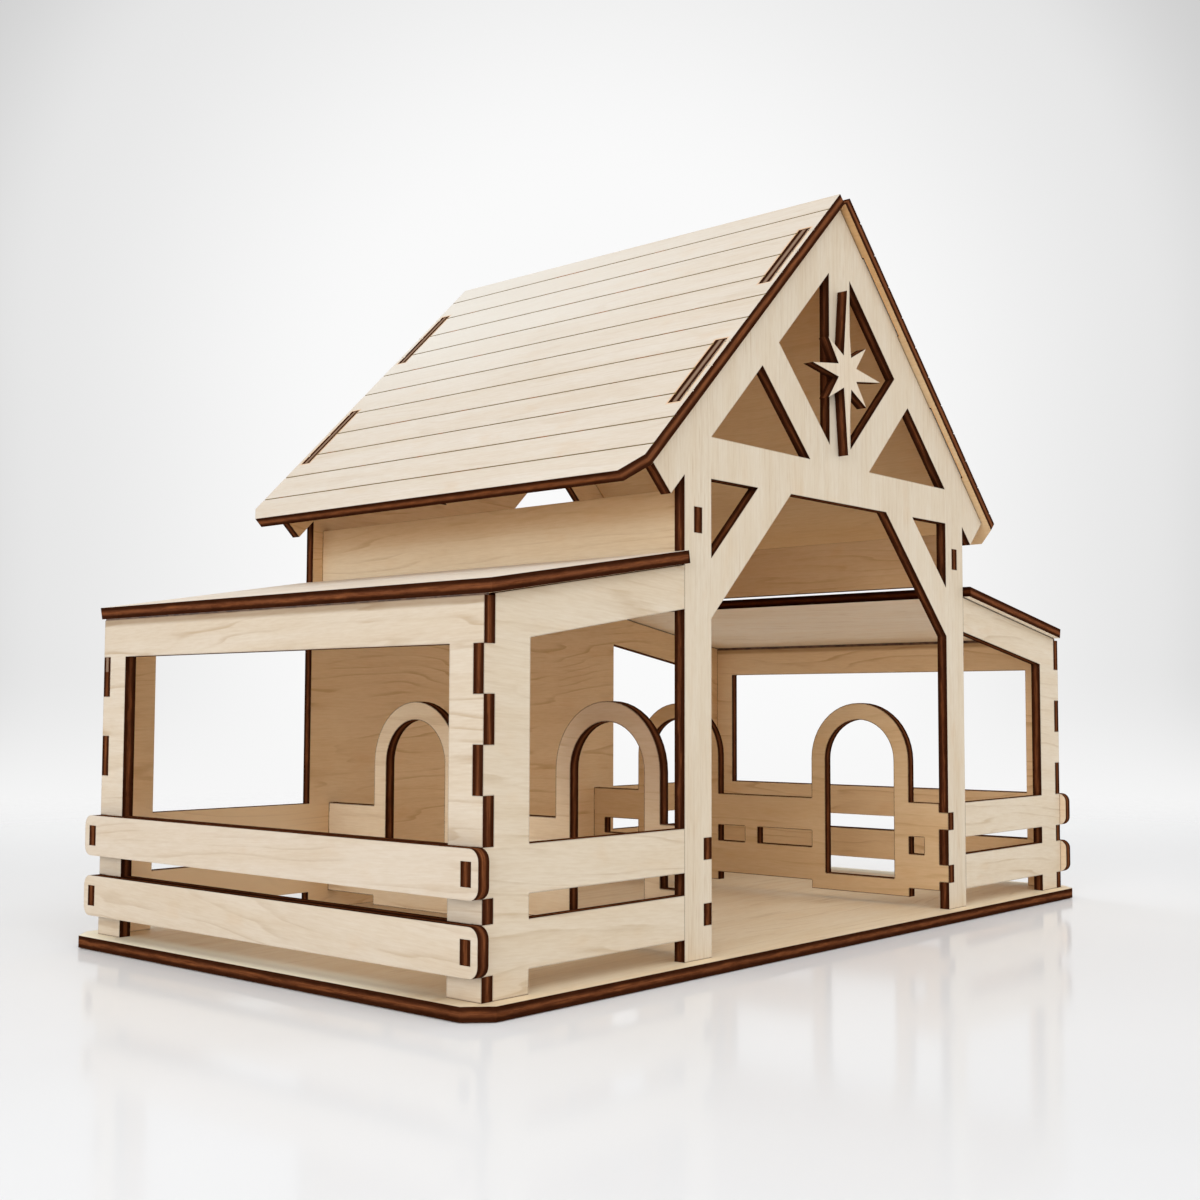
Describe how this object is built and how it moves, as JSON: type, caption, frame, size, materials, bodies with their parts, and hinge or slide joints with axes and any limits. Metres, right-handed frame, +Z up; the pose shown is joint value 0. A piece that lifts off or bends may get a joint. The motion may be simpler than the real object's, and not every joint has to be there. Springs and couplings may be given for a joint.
{
  "type": "model stable",
  "caption": "Plywood stable with a gabled middle bay between lean-to bays, slotted roofs, rail fences, arched partitions and a star, on a base plate.",
  "frame": {"origin": "middle of the base plate's underside", "axes": "+X along the length, to the right seen from the front; +Y towards the back wall; +Z up"},
  "size_m": [0.2664, 0.15, 0.1958],
  "materials": {
    "base_ply": "bare sanded plywood",
    "wall_ply": "bare sanded plywood",
    "rail_ply": "bare sanded plywood",
    "inner_ply": "bare sanded plywood",
    "roof_ply": "bare sanded plywood",
    "star_ply": "bare sanded plywood"
  },
  "bodies": {
    "root": {"back_panel": "wall_ply", "base_plate": "base_ply", "clerestory_board_left": "inner_ply", "clerestory_board_right": "inner_ply", "fence_rail_lower_left": "rail_ply", "fence_rail_lower_right": "rail_ply", "fence_rail_upper_left": "rail_ply", "fence_rail_upper_right": "rail_ply", "front_gable": "wall_ply", "front_lean_to_left": "wall_ply", "front_lean_to_right": "wall_ply", "lean_to_roof_left": "roof_ply", "lean_to_roof_right": "roof_ply", "main_roof_left": "roof_ply", "main_roof_right": "roof_ply", "partition_left": "inner_ply", "partition_right": "inner_ply", "side_frame_left": "wall_ply", "side_frame_right": "wall_ply", "star": "star_ply"}
  },
  "joints": []
}
